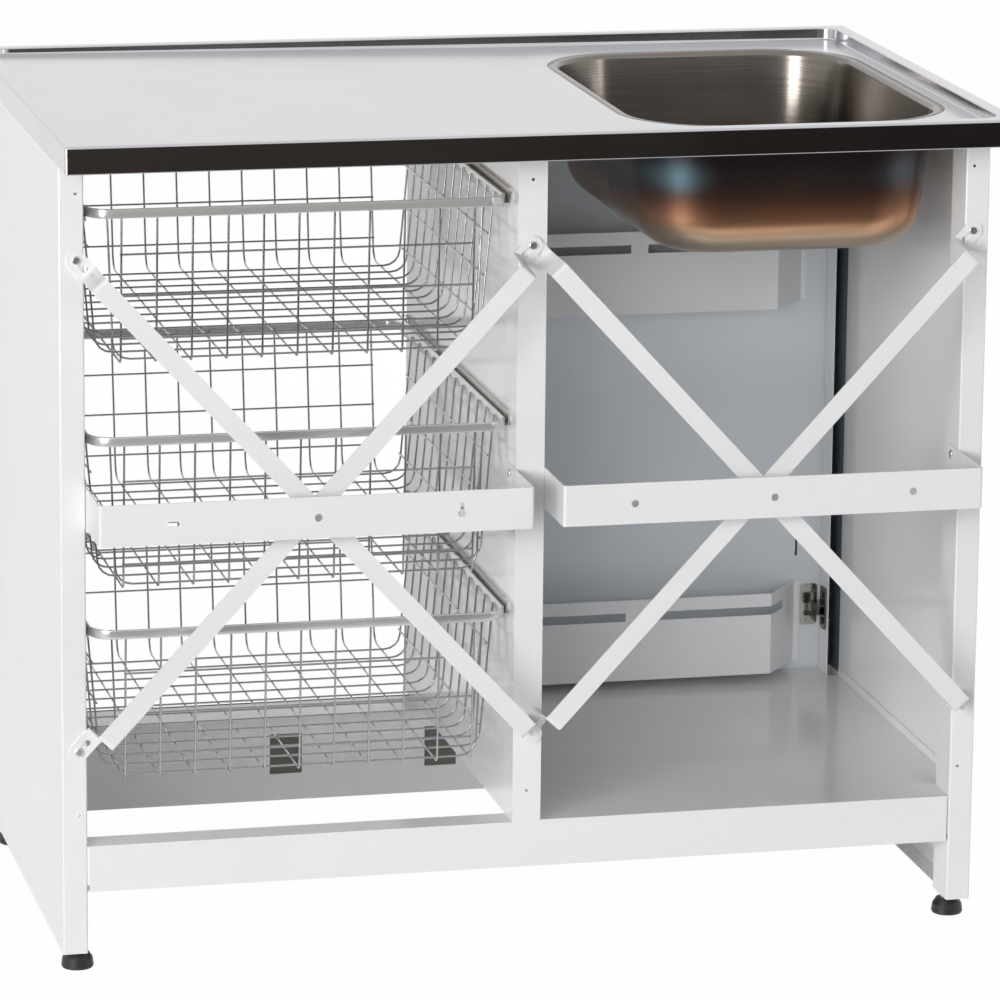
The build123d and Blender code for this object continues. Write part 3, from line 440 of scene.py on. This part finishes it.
def round_face(bm, centre, radius, z, segments=48):
    """A flat disc."""
    made = bmesh.ops.create_circle(bm, cap_ends=True, segments=segments, radius=radius)
    bmesh.ops.translate(bm, vec=(centre[0], centre[1], z), verts=made["verts"])
    return next(f for f in made["verts"][0].link_faces)


# Painted shade: the inside is given a far darker, browner steel than the worktop, standing for
# the dark reflections in the bowl.
bowl_inside = brushed_steel("bowl_inside", (0.165, 0.145, 0.130), (0.25, 0.228, 0.208),
                            rough=(0.16, 0.26), lines=(6, 6, 1500))
bowl_outside = heat_tinted_steel()

bm = bmesh.new()
mouth = bowl_opening(bm, bowl_high.z)
step_in(bm, mouth, BOWL_FLANGE - LIP_ROLL, 0)
curl(bm, mouth, LIP_ROLL, 0, BOWL_SLOPE)
bend_drop = 1 - math.cos(math.radians(BOWL_SLOPE))
wall_drop = BOWL_DEPTH - (LIP_ROLL + FOOT_ROLL) * bend_drop
wall_in = wall_drop / math.tan(math.radians(-BOWL_SLOPE))
step_in(bm, mouth, wall_in, -wall_drop)
curl(bm, mouth, FOOT_ROLL, BOWL_SLOPE, 0, steps=12)

seat = round_face(bm, BOWL_CENTRE, WASTE_SEAT, mouth.verts[0].co.z)
open_between(bm, mouth, seat)
curl(bm, seat, SEAT_ROLL, 0, SEAT_SLOPE, steps=3)
step_in(bm, seat, SEAT_WALL_IN, SEAT_BENDS_DROP - WASTE_DROP)
curl(bm, seat, SEAT_ROLL, SEAT_SLOPE, 0, steps=3)
step_in(bm, seat, WASTE_SEAT - WASTE_HOLE - SEAT_BENDS_IN, 0)
bmesh.ops.delete(bm, geom=[seat], context="FACES")
bmesh.ops.recalc_face_normals(bm, faces=bm.faces)
if sum(f.normal.z * f.calc_area() for f in bm.faces) < 0:
    bmesh.ops.reverse_faces(bm, faces=bm.faces)
bowl = piece("bowl_shell", bm, "cabinet", bowl_inside, bowl_outside, replaces=["sink_bowl"],
             sheet=BOWL_SHEET)


# ---------------------------------------------------------------- cabinet
# Two side panels, a hollow centre post, rails, a plinth with two windows and the floor of
# the cupboard. All are folded steel, stoved with a smooth white paint that shows a faint
# orange peel.

PEEL_DEPTH = 0.0003
CLOUD_DARKENING = 0.97
CLOUD_ROUGHNESS = (-0.04, 0.05)


def paint_texture_group():
    """The peel of a stoved paint, and a slow cloud over it."""
    group, given, out = new_group("paint_texture", {"Peel": 700, "Cloud": 5},
                                  ("Peel", "Cloud"))
    nodes, link = group.nodes, group.links.new
    place = object_place(nodes)
    for label, detail in (("Peel", 2), ("Cloud", 4)):
        link(noise(nodes, link, place, given.outputs[label], detail), out.inputs[label])
    return group


paint_texture = paint_texture_group()


def painted(name, colour, rough, peel=700, bump=0.12, metallic=0.0):
    """A stoved paint: slightly uneven in tone and gloss, with a fine peel."""
    material, nodes, link, shader = start_material(name, colour, metallic, rough)
    texture = nodes.new("ShaderNodeGroup")
    texture.node_tree = paint_texture
    texture.inputs["Peel"].default_value = peel
    shade = spread(nodes, link, texture.outputs["Cloud"], 0, 1)
    darker = tuple(c * CLOUD_DARKENING for c in colour)
    link(two_tone(nodes, link, shade, darker, colour), shader.inputs["Base Color"])
    glossier, duller = (rough + change for change in CLOUD_ROUGHNESS)
    link(spread(nodes, link, texture.outputs["Cloud"], glossier, duller),
         shader.inputs["Roughness"])
    raise_by(nodes, link, shader, texture.outputs["Peel"], bump, PEEL_DEPTH)
    return material


def finish(material, *nodes):
    """Gives pieces of the frame their material."""
    for node in nodes:
        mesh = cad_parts[node].data
        mesh.materials.clear()
        mesh.materials.append(material)


white_paint = painted("white_paint", (0.885, 0.892, 0.90), rough=0.11)
finish(white_paint, "side_panel_basket_side", "side_panel_bowl_side", "partition",
       "rear_rail", "front_plinth", "top_rail_basket_bay", "top_rail_bowl_bay", "floor_tray")


# ---------------------------------------------------------------- braces and crossbars
# Two crosses of joggled flat bars and two U-shaped crossbars tie the posts together on
# the wall side. They are steel with the white paint of the cabinet, screwed to the posts.

finish(white_paint, "crossbar_basket_bay", "crossbar_bowl_bay",
       "brace_a", "brace_b", "brace_c", "brace_d")


# ---------------------------------------------------------------- door and bins
# The door is a folded steel pan, closed by an inner sheet in a cooler white. Two folded
# bins, in a brighter white, hang in the slots of the inner sheet.

door_paint = painted("door_paint", (0.79, 0.83, 0.885), rough=0.11)
bin_paint = painted("bin_paint", (0.91, 0.92, 0.94), rough=0.14)
finish(white_paint, "door_outer")
finish(door_paint, "door_inner")
finish(bin_paint, "door_bin_upper", "door_bin_lower")


# ---------------------------------------------------------------- runners
# One runner on each side of each basket: a channel folded from sheet steel, coated a
# duller white, and screwed to the side panel or to the centre post.

BASKETS = ("top", "middle", "bottom")

runner_white = painted("runner_white", (0.72, 0.72, 0.71), rough=0.35)
finish(runner_white, *(f"runner_{level}_{side}" for level in BASKETS
                       for side in ("inner", "outer")))


# ---------------------------------------------------------------- channel lining
# The front channel of the bowl-side panel is dark inside, from the tray to the worktop: a
# thin slate-black strip, taken for foam, is glued to its three walls.

panel_low, panel_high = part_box("side_panel_bowl_side")
CHANNEL_WIDTH = 0.016
CHANNEL_DEPTH = 0.036
LINING_INSET = 0.0014
LINING_FOOT = 0.003
LINING_HEAD = 0.002
LINING_THICKNESS = 0.0005

# A slate-black strip that darkens the inside of the channel.
channel_dark = painted("dark_channel_strip", (0.070, 0.090, 0.110), rough=0.42, peel=1500, bump=0.5)
bm = bmesh.new()
outer_x = panel_low.x + LINING_INSET
inner_x = panel_low.x + CHANNEL_WIDTH - LINING_INSET / 2
front_y = panel_low.y + LINING_INSET
mouth_y = panel_low.y + CHANNEL_DEPTH - LINING_INSET / 2
foot_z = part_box("floor_tray")[0].z + LINING_FOOT
corners = [bm.verts.new((x, y, foot_z)) for x, y in ((outer_x, mouth_y), (outer_x, front_y),
                                                     (inner_x, front_y), (inner_x, mouth_y))]
strip = [bm.edges.new(pair) for pair in zip(corners, corners[1:])]
raised = bmesh.ops.extrude_edge_only(bm, edges=strip)["geom"]
bmesh.ops.translate(bm, vec=(0, 0, panel_high.z - LINING_HEAD - foot_z),
                    verts=[g for g in raised if isinstance(g, bmesh.types.BMVert)])
lining = piece("channel_lining", bm, "cabinet", channel_dark, sheet=LINING_THICKNESS)


# ---------------------------------------------------------------- hinge screw tips
# Two self-tapping screws of bright zinc hold each hinge arm to the return of the front
# channel. Their points come through the sheet and the lining.

TIP_RADIUS = 0.0016
TIP_POINT = 0.0002
TIP_LENGTH = 0.0085
TIP_SPACING = 0.016
TIP_DEPTH = 0.018

tip_zinc = painted("tip_zinc", (0.92, 0.92, 0.90), rough=0.25, metallic=0.3)
bm = bmesh.new()
for level in ("lower", "upper"):
    arm_low, arm_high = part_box(f"hinge_arm_{level}")
    for side in (-1, 1):
        made = bmesh.ops.create_cone(bm, cap_ends=True, segments=12, radius1=TIP_RADIUS,
                                     radius2=TIP_POINT, depth=TIP_LENGTH)
        bmesh.ops.rotate(bm, matrix=Matrix.Rotation(math.radians(-90), 3, "Y"),
                         verts=made["verts"])
        bmesh.ops.translate(bm, vec=(inner_x - TIP_LENGTH / 2,
                                     panel_low.y + CHANNEL_DEPTH - TIP_DEPTH,
                                     (arm_low.z + arm_high.z) / 2 + side * TIP_SPACING),
                            verts=made["verts"])
bmesh.ops.recalc_face_normals(bm, faces=bm.faces)
tips = piece("hinge_screw_tips", bm, "cabinet", tip_zinc)


# ---------------------------------------------------------------- boards
# A chipboard stiffens the worktop from below and rests on its returned lip. A brown
# fibreboard lies behind the plinth and shows in its two windows.

FLECK_DEPTH = 0.0004


def board(name, dark, light, scale):
    """Pressed wood: flecks of two browns."""
    material, nodes, link, shader = start_material(name, light, metallic=0, roughness=0.8)
    flecks = noise(nodes, link, object_place(nodes), scale, detail=6)
    mask = spread(nodes, link, flecks, 0, 1)
    link(two_tone(nodes, link, mask, dark, light), shader.inputs["Base Color"])
    raise_by(nodes, link, shader, flecks, strength=0.3, distance=FLECK_DEPTH)
    return material


finish(board("chipboard", (0.20, 0.14, 0.08), (0.42, 0.32, 0.21), 260), "deck_board")
finish(board("fibreboard", (0.13, 0.12, 0.10), (0.19, 0.18, 0.155), 420), "plinth_board")


# ---------------------------------------------------------------- baskets
# Three baskets of round wire welded to a flat oval rim, all bright zinc. Long wires run
# down the near wall, along the floor and up the far wall; cross wires run side to side,
# and level wires are laid against the four walls.

WIRE = 0.0023
WIRE_PITCH = 0.0369
LONG_WIRES = 11
FLOOR_DROP = 0.158
NEAR_LEAN = 0.010
FAR_LEAN = 0.024
SIDE_LEAN = 0.014
FLOOR_BEND = 0.018
NEAR_BEND = 0.006
LEVEL_DROPS = (0.044, 0.088, 0.133)
CORNER_LEG_INSET = 0.020
CORNER_LEG_LEAN = 0.006
RIM_THICKNESS = 0.003
RIM_CORNER = 0.028
RIM_EDGE = 0.0013
SAME_HEIGHT = 1e-6

wire_zinc = painted("wire_zinc", (0.44, 0.445, 0.46), rough=0.16, peel=900, metallic=0.92)
rim_zinc = painted("rim_zinc", (0.70, 0.705, 0.70), rough=0.24, peel=500, metallic=0.5)


def new_wires(name):
    """A curve for round wires of one thickness, closed at their ends."""
    curve = bpy.data.curves.new(name, "CURVE")
    curve.dimensions = "3D"
    curve.bevel_depth = WIRE / 2
    curve.bevel_resolution = 1
    curve.resolution_u = 4
    curve.use_fill_caps = True
    return curve


def bent_wire(curve, corners, bend_radii):
    """A wire along straight runs, with a round bend of its own at each inner corner."""
    line = [(corners[0], corners[0], corners[0])]
    for before, corner, after, radius in zip(corners, corners[1:], corners[2:], bend_radii):
        back = (before - corner).normalized()
        on = (after - corner).normalized()
        turn = math.pi - back.angle(on)
        reach = radius * math.tan(turn / 2)
        pull = radius * 4 / 3 * math.tan(turn / 4)
        first, last = corner + back * reach, corner + on * reach
        line.append((first, first + back * pull, first - back * pull))
        line.append((last, last - on * pull, last + on * pull))
    line.append((corners[-1], corners[-1], corners[-1]))
    spline = curve.splines.new("BEZIER")
    spline.bezier_points.add(len(line) - 1)
    for point, (place, left, right) in zip(spline.bezier_points, line):
        point.co = place
        point.handle_left = left
        point.handle_right = right


def curve_piece(name, curve, body, material, replaces=()):
    """Makes the object of a finished curve, and lets it ride on a body."""
    obj = bpy.data.objects.new(name, curve)
    bpy.context.scene.collection.objects.link(obj)
    curve.materials.append(material)
    if replaces:
        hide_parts(*replaces)
    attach(obj, body)
    return obj


def is_long_rim_edge(edge):
    """Whether an edge runs along the rim, between a flat face and an upright one."""
    level = abs(edge.verts[0].co.z - edge.verts[1].co.z) < SAME_HEIGHT
    slopes = [f.normal.z for f in edge.link_faces]
    flat_or_upright = all(abs(abs(slope) - 0.5) > 0.4 for slope in slopes)
    return level and flat_or_upright and abs(slopes[0] - slopes[1]) > 0.5


def basket_rim(level, low, high):
    """The flat oval rim: a tall thin band with rounded edges."""
    bm = bmesh.new()
    size = (high.x - low.x, high.y - low.y)
    centre = ((high.x + low.x) / 2, (high.y + low.y) / 2)
    band = rounded_face(bm, centre, size, RIM_CORNER, low.z, segments=8)
    top = raised_copy(bm, band, high.z - low.z)
    loops = []
    for face in (band, top):
        step_in(bm, face, RIM_THICKNESS, 0)
        loops += list(face.edges)
        bmesh.ops.delete(bm, geom=[face], context="FACES_ONLY")
    bmesh.ops.bridge_loops(bm, edges=loops)
    long_edges = [edge for edge in bm.edges if is_long_rim_edge(edge)]
    bmesh.ops.bevel(bm, geom=long_edges, offset=RIM_EDGE, segments=3, affect="EDGES",
                    profile=0.5, material=-1)
    bmesh.ops.recalc_face_normals(bm, faces=bm.faces)
    rim = piece(f"basket_{level}_band", bm, f"basket_{level}", rim_zinc,
                replaces=[f"basket_{level}_rim"], crease=60)


def basket_wires(level, low, high):
    """Every wire of one basket, from the box of its rim."""
    body = f"basket_{level}"
    centre_x = (low.x + high.x) / 2
    rim_z = (low.z + high.z) / 2
    floor_z = rim_z - FLOOR_DROP
    near_top = high.y - RIM_THICKNESS - WIRE / 2
    far_top = low.y + RIM_THICKNESS + WIRE / 2
    near_foot = near_top - NEAR_LEAN
    far_foot = far_top + FAR_LEAN
    side_top = (high.x - low.x) / 2 - RIM_THICKNESS - WIRE / 2

    along = new_wires(f"{body}_along")
    for n in range(LONG_WIRES):
        x = centre_x + (n - (LONG_WIRES - 1) / 2) * WIRE_PITCH
        bent_wire(along, [Vector((x, near_top, rim_z)), Vector((x, near_foot, floor_z)),
                          Vector((x, far_foot, floor_z)), Vector((x, far_top, rim_z))],
                  (NEAR_BEND, FLOOR_BEND))

    across = new_wires(f"{body}_across")
    count = int((near_foot - far_foot - 2 * FLOOR_BEND) / WIRE_PITCH) + 1
    first_y = near_foot - NEAR_BEND - WIRE
    lift = floor_z + WIRE
    for n in range(count):
        y = first_y - n * WIRE_PITCH
        half = side_top - (CORNER_LEG_INSET if n == 0 else 0)
        foot = min(side_top - SIDE_LEAN, half - CORNER_LEG_LEAN)
        bent_wire(across, [Vector((centre_x - half, y, rim_z)),
                           Vector((centre_x - foot, y, lift)),
                           Vector((centre_x + foot, y, lift)),
                           Vector((centre_x + half, y, rim_z))], (FLOOR_BEND, FLOOR_BEND))

    level_wires = new_wires(f"{body}_level")
    half_x = WIRE_PITCH * (LONG_WIRES - 1) / 2 + WIRE / 2
    last_y = first_y - (count - 1) * WIRE_PITCH
    for drop in LEVEL_DROPS:
        z = rim_z - drop
        share = drop / FLOOR_DROP
        for y in (near_top - NEAR_LEAN * share - WIRE, far_top + FAR_LEAN * share + WIRE):
            bent_wire(level_wires, [Vector((centre_x - half_x, y, z)),
                                    Vector((centre_x + half_x, y, z))], ())
        side = side_top - SIDE_LEAN * share - WIRE
        for x in (centre_x - side, centre_x + side):
            bent_wire(level_wires, [Vector((x, first_y - WIRE_PITCH, z)),
                                    Vector((x, last_y, z))], ())
    for name, curve in (("long_wires", along), ("cross_wires", across),
                        ("wall_wires", level_wires)):
        made = curve_piece(f"basket_{level}_round_{name}", curve, body, wire_zinc,
                           replaces=[f"basket_{level}_{name}"])


for level in BASKETS:
    rim_low, rim_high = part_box(f"basket_{level}_rim")
    basket_rim(level, rim_low, rim_high)
    basket_wires(level, rim_low, rim_high)


# ---------------------------------------------------------------- screws
# Small zinc-plated screws, turned into the folded sheet, hold the braces, the crossbars
# and the runners.

zinc = painted("screw_zinc", (0.76, 0.76, 0.74), rough=0.22, metallic=0.85)
finish(zinc, "brace_screws", "crossbar_screws", "runner_screws")


# ---------------------------------------------------------------- hinges
# Two cupboard hinges: a nickel-plated cup sits in the inner sheet of the door, and a dark,
# oiled steel arm is screwed to the front channel.

nickel = painted("hinge_nickel", (0.66, 0.65, 0.60), rough=0.14, metallic=0.95)
oiled_steel = painted("hinge_steel", (0.20, 0.19, 0.17), rough=0.16, metallic=0.95)
finish(nickel, "hinge_cup_lower", "hinge_cup_upper")
finish(oiled_steel, "hinge_arm_lower", "hinge_arm_upper")


# ---------------------------------------------------------------- door handle
# A bow handle of stainless steel, brushed along its length and fixed to the outer face of
# the door.

handle_steel = brushed_steel("handle_steel", (0.5, 0.5, 0.5), (0.62, 0.62, 0.62),
                             rough=(0.25, 0.33), lines=(1500, 1500, 10))
finish(handle_steel, "door_handle")


# ---------------------------------------------------------------- levelling feet
# Four feet, one under each corner: a pad of black nylon on a zinc-plated stud, which is
# threaded into the foot plate of the panel.

FOOT_CORNERS = ("rear_basket", "front_basket", "rear_bowl", "front_bowl")

black_nylon = painted("black_nylon", (0.012, 0.012, 0.013), rough=0.45)
finish(zinc, *(f"foot_stud_{corner}" for corner in FOOT_CORNERS))
finish(black_nylon, *(f"foot_pad_{corner}" for corner in FOOT_CORNERS))


# ---------------------------------------------------------------- studio
# A pale floor, a white surround and soft lamps. Two brown-black cards on the camera's side
# give the steel its dark bands, and two lamps draw the streaks in the bowl; gloss alone
# sees these four.

CAMERA_PLACE = (1.3595, 5.9054, 1.8712)
CAMERA_TURN = (77.179, -0.731, 166.206)
CAMERA_LENS = 206.07
CAMERA_SHIFT = (-0.0732, -0.0580)
FLOOR_SIZE = 14
FLOOR_WHITE_SHARE = 0.985
CARD_GLOW = (0.045, 0.036, 0.030)
CARD_FADE_X = (-1.15, -0.45)
CARD_FADE_SHARE = 0.3
LAMP_TINT = (1.0, 0.985, 0.965)
UNIT_MIDDLE = (0, 0, 0.4)
BOWL_BAY_MIDDLE = (-0.5, 0, 0.4)
BASKET_BAY_MIDDLE = (0.5, 0, 0.4)
BOWL_INSIDE_MIDDLE = (-0.3, 0, 0.8)
DOOR_BINS_MIDDLE = (-0.2, 0, 0.4)
AIR_TINT = (0.80, 0.90, 1.0)
AIR_LEVEL = 0.11

camera_data = bpy.data.cameras.new("camera")
camera = bpy.data.objects.new("camera", camera_data)
bpy.context.scene.collection.objects.link(camera)
bpy.context.scene.camera = camera
camera.location = CAMERA_PLACE
camera.rotation_euler = tuple(math.radians(a) for a in CAMERA_TURN)
camera_data.sensor_width = 36
camera_data.lens = CAMERA_LENS
camera_data.shift_x, camera_data.shift_y = CAMERA_SHIFT
camera_data.clip_end = 60


def seen_as_white(nodes, link):
    """1 for rays that come from the camera, or by way of gloss or glass."""
    path = nodes.new("ShaderNodeLightPath")
    total = path.outputs["Is Camera Ray"]
    for name in ("Is Glossy Ray", "Is Transmission Ray"):
        total = calculate(nodes, link, "MAXIMUM", total, path.outputs[name])
    return total


def pale_floor():
    """A pale floor, which the camera and the gloss see as nearly white."""
    material, nodes, link, shader = start_material("pale_floor", (0.86, 0.86, 0.86),
                                                   metallic=0, roughness=0.6)
    shader.inputs["Specular IOR Level"].default_value = 0.1
    glow = nodes.new("ShaderNodeEmission")
    glow.inputs["Color"].default_value = (1, 1, 1, 1)
    share = calculate(nodes, link, "MULTIPLY", seen_as_white(nodes, link), FLOOR_WHITE_SHARE)
    mix = nodes.new("ShaderNodeMixShader")
    link(share, mix.inputs["Fac"])
    link(shader.outputs[0], mix.inputs[1])
    link(glow.outputs[0], mix.inputs[2])
    link(mix.outputs[0], nodes["Material Output"].inputs["Surface"])
    return material


def card_colour(name):
    """A brown-black glow, weaker towards the bowl's end of the unit."""
    material, nodes, link, shader = start_material(name, (0, 0, 0), metallic=0, roughness=0.9)
    shader.inputs["Specular IOR Level"].default_value = 0
    shader.inputs["Emission Color"].default_value = (*CARD_GLOW, 1)
    axes = axes_of(nodes, link, object_place(nodes))
    link(ranged(nodes, link, axes["X"], *CARD_FADE_X, low=CARD_FADE_SHARE),
         shader.inputs["Emission Strength"])
    return material


def flat_sheet(name, centre, size, tilt, material):
    """A rectangle in the studio, tilted up from the floor in degrees."""
    bm = bmesh.new()
    made = bmesh.ops.create_grid(bm, x_segments=1, y_segments=1, size=0.5)
    bmesh.ops.scale(bm, vec=(size[0], size[1], 1), verts=made["verts"])
    bmesh.ops.rotate(bm, matrix=Matrix.Rotation(math.radians(tilt), 3, "X"),
                     verts=made["verts"])
    bmesh.ops.translate(bm, vec=centre, verts=made["verts"])
    mesh = bpy.data.meshes.new(name)
    bm.to_mesh(mesh)
    bm.free()
    mesh.materials.append(material)
    sheet = bpy.data.objects.new(name, mesh)
    bpy.context.scene.collection.objects.link(sheet)
    return sheet


def dark_card(name, centre, size, tilt):
    """A card that only metal and gloss see."""
    card = flat_sheet(name, centre, size, tilt, card_colour(name))
    card.visible_camera = False
    card.visible_diffuse = False
    card.visible_shadow = False


def lamp(name, place, target, size, power, gloss_only=False):
    """A soft lamp; metal sees only the ones that are there for the gloss."""
    data = bpy.data.lights.new(name, "AREA")
    data.shape = "RECTANGLE"
    data.size, data.size_y = size
    data.energy = power
    data.color = LAMP_TINT
    obj = bpy.data.objects.new(name, data)
    bpy.context.scene.collection.objects.link(obj)
    obj.location = place
    obj.rotation_euler = (Vector(target) - Vector(place)).to_track_quat("-Z", "Y").to_euler()
    obj.visible_glossy = gloss_only
    obj.visible_diffuse = not gloss_only


floor = flat_sheet("floor", (0, 0, 0), (FLOOR_SIZE, FLOOR_SIZE), 0, pale_floor())
dark_card("camera_side_card", centre=(0, 3.4, 0.84), size=(8.0, 1.68), tilt=90)
dark_card("floor_card", centre=(0, 2.2, 0.004), size=(8.0, 2.4), tilt=0)

lamp("key", (6.8, 6.0, 2.6), UNIT_MIDDLE, size=(3.2, 3.2), power=365)
lamp("fill", (-1.0, 3.6, 1.3), UNIT_MIDDLE, size=(1.6, 1.6), power=12)
lamp("inner", (3.6, 7.2, 2.0), DOOR_BINS_MIDDLE, size=(3.2, 3.2), power=212)
lamp("end", (4.0, 0.6, 1.2), BASKET_BAY_MIDDLE, size=(1.6, 1.6), power=8)
lamp("front", (-1.2, -3.4, 1.6), UNIT_MIDDLE, size=(1.8, 1.8), power=55)
lamp("far_end", (-3.6, 0.4, 1.4), BOWL_BAY_MIDDLE, size=(1.6, 1.6), power=26)
lamp("bowl_streak_left", (1.9, 1.8, 0.95), BOWL_INSIDE_MIDDLE, size=(0.8, 1.6), power=44,
     gloss_only=True)
lamp("bowl_streak_right", (-2.4, 1.9, 0.95), BOWL_INSIDE_MIDDLE, size=(0.3, 1.2), power=4.0,
     gloss_only=True)

world = bpy.data.worlds.new("studio_air")
bpy.context.scene.world = world
world.use_nodes = True
world_nodes, world_link = world.node_tree.nodes, world.node_tree.links.new
background = world_nodes["Background"]
white_rays = seen_as_white(world_nodes, world_link)
world_link(two_tone(world_nodes, world_link, white_rays, AIR_TINT, (1, 1, 1)),
           background.inputs["Color"])
world_link(ranged(world_nodes, world_link, white_rays, low=AIR_LEVEL),
           background.inputs["Strength"])
bpy.context.scene.view_settings.view_transform = "Standard"
